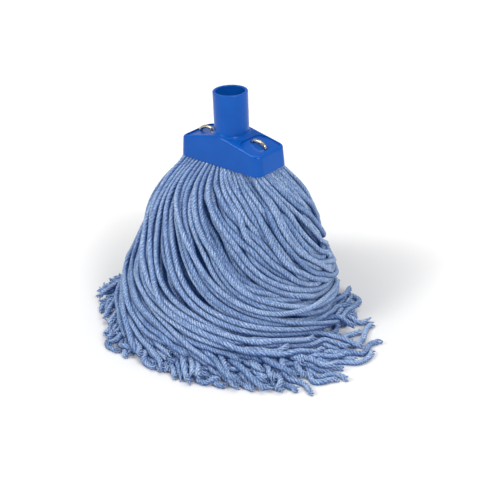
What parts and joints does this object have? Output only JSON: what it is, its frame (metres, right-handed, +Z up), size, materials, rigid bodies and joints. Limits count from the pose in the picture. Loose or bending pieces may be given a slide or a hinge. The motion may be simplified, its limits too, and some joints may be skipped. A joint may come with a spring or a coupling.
{
  "type": "string mop head",
  "caption": "String mop head: a moulded socket with a handle tube and hollow base, wire clips, and twisted yarn that hangs from the base as a full round mound.",
  "frame": {"origin": "on the floor under the handle tube's axis, at the foot of the yarn mound", "axes": "+Z up along the handle tube, +X along the socket's long side, +Y across it"},
  "size_m": [0.2827, 0.255, 0.2047],
  "materials": {
    "socket_plastic": "gloss",
    "clip_wire": "polished",
    "yarn": "matte"
  },
  "bodies": {
    "root": {"socket_shell": "socket_plastic", "clip_left": "clip_wire", "clip_right": "clip_wire", "yarn_fold_left": "yarn", "yarn_fold_right": "yarn", "yarn_core": "yarn", "yarn_inner_01": "yarn", "yarn_inner_02": "yarn", "yarn_inner_03": "yarn", "yarn_inner_04": "yarn", "yarn_inner_05": "yarn", "yarn_inner_06": "yarn", "yarn_inner_07": "yarn", "yarn_inner_08": "yarn", "yarn_inner_09": "yarn", "yarn_inner_10": "yarn", "yarn_inner_11": "yarn", "yarn_inner_12": "yarn", "yarn_outer_01": "yarn", "yarn_outer_02": "yarn", "yarn_outer_03": "yarn", "yarn_outer_04": "yarn", "yarn_outer_05": "yarn", "yarn_outer_06": "yarn", "yarn_outer_07": "yarn", "yarn_outer_08": "yarn", "yarn_outer_09": "yarn", "yarn_outer_10": "yarn", "yarn_outer_11": "yarn", "yarn_outer_12": "yarn", "yarn_outer_13": "yarn", "yarn_outer_14": "yarn", "yarn_outer_15": "yarn", "yarn_outer_16": "yarn", "yarn_outer_17": "yarn", "yarn_outer_18": "yarn", "yarn_outer_19": "yarn", "yarn_outer_20": "yarn", "yarn_outer_21": "yarn", "yarn_outer_22": "yarn", "yarn_outer_23": "yarn", "yarn_outer_24": "yarn"}
  },
  "joints": []
}
